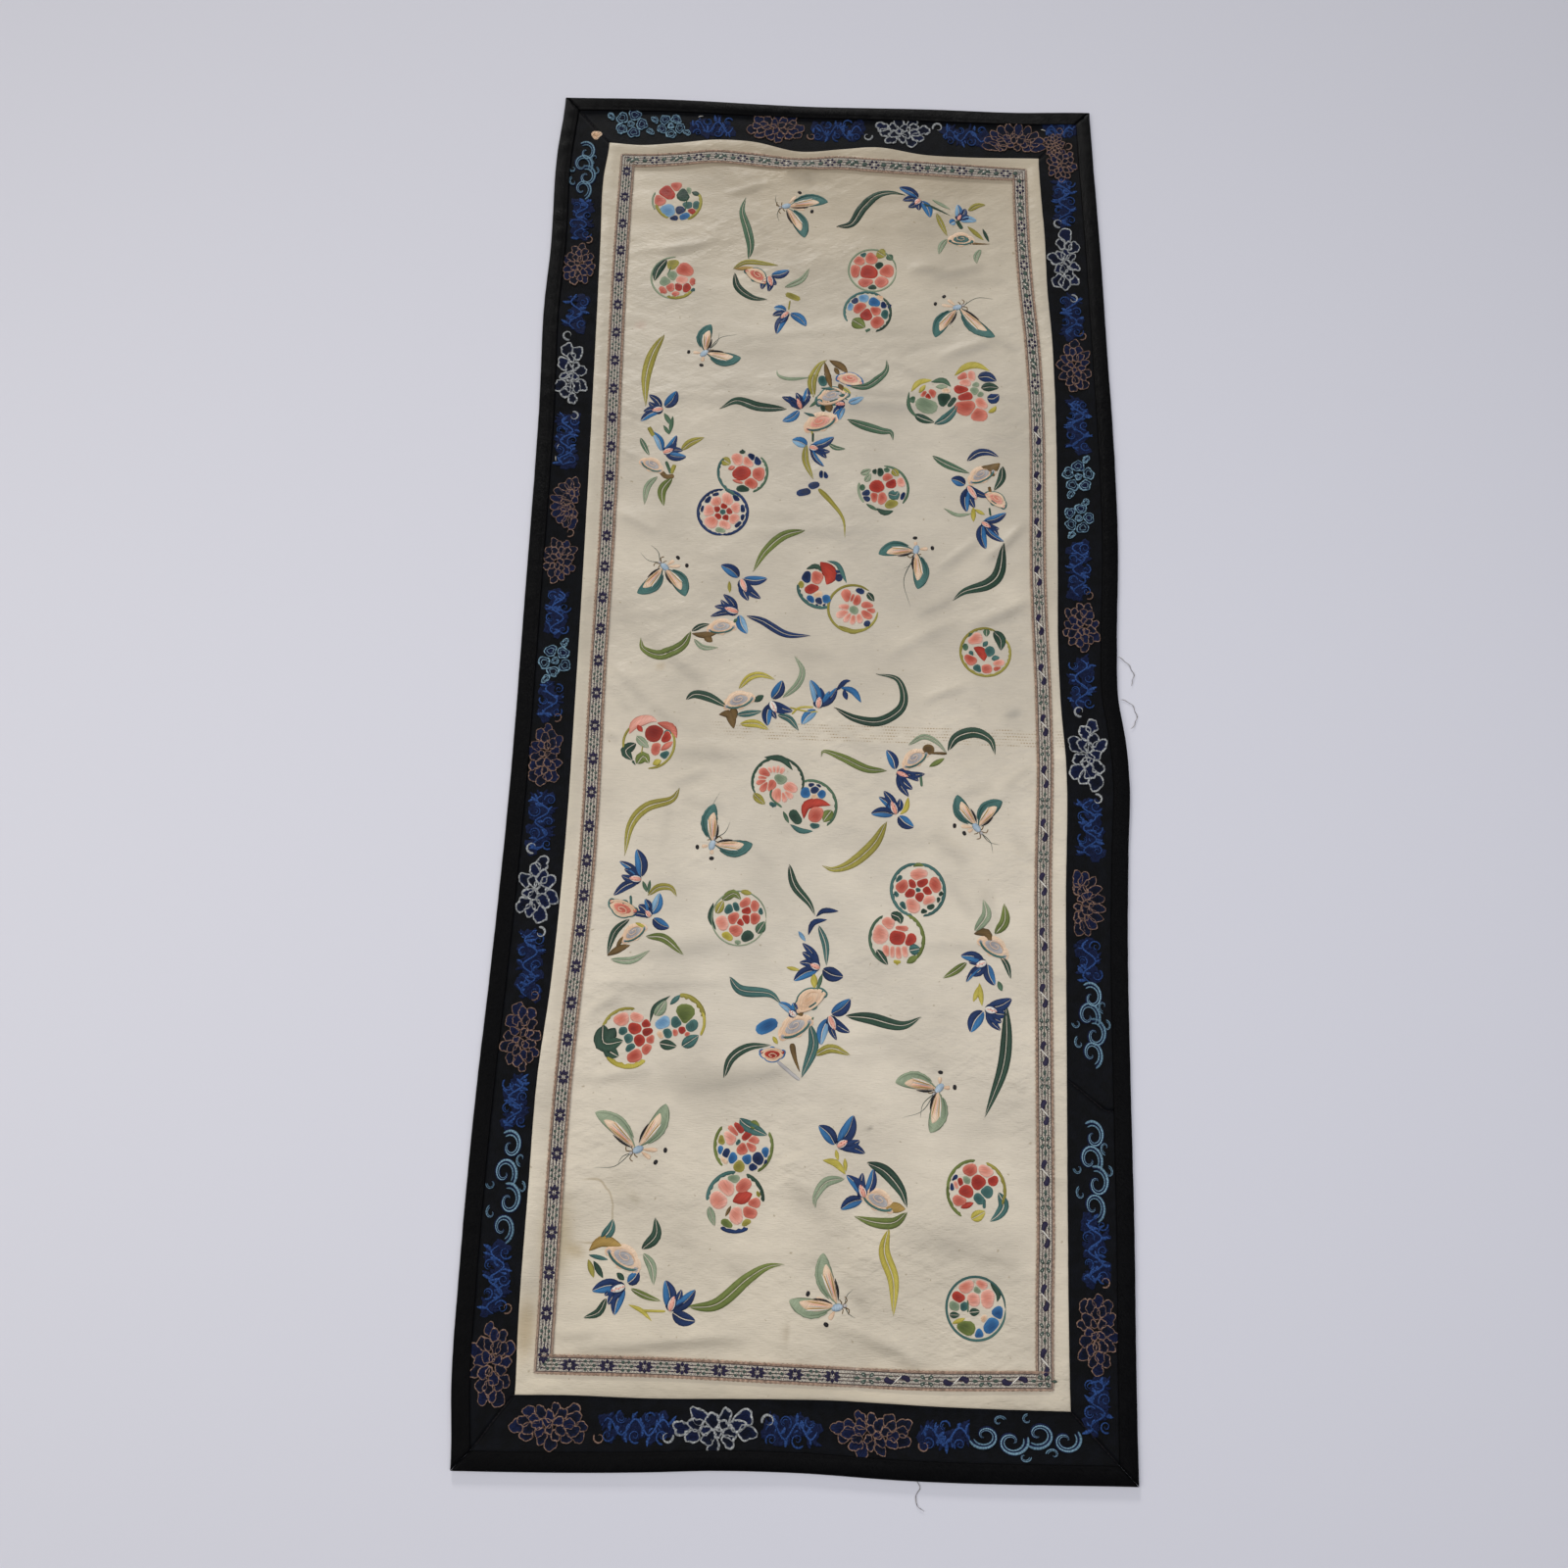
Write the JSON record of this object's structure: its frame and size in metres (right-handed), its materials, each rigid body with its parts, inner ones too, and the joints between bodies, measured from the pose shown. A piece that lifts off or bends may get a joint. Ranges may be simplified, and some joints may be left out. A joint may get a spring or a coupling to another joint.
{
  "type": "silk embroidered wall hanging",
  "caption": "Long flat silk panel with flower, butterfly and roundel embroidery, woven ribbon inside its edge, a dark embroidered border and a black satin binding.",
  "frame": {"origin": "centre of the hanging's box, on the surface that it lies on", "axes": "+Y towards the top edge, +X to the right of the embroidered face, +Z out of the embroidered face"},
  "size_m": [0.5186, 1.1842, 0.0055],
  "materials": {
    "ground_satin": "aged ivory silk satin with floss embroidery",
    "ribbon_weave": "woven silk ribbon with furry braid edges",
    "band_silk": "dark silk with couched and looped thread embroidery",
    "binding_satin": "black cotton satin"
  },
  "bodies": {
    "root": {"ground": "ground_satin", "ribbon_top": "ribbon_weave", "ribbon_left": "ribbon_weave", "ribbon_right_upper": "ribbon_weave", "ribbon_right_lower": "ribbon_weave", "ribbon_bottom_left": "ribbon_weave", "ribbon_bottom_right": "ribbon_weave", "band_top": "band_silk", "band_left": "band_silk", "band_right_upper": "band_silk", "band_right_lower": "band_silk", "band_bottom": "band_silk", "binding_top": "binding_satin", "binding_left": "binding_satin", "binding_right": "binding_satin", "binding_bottom": "binding_satin"}
  },
  "joints": []
}
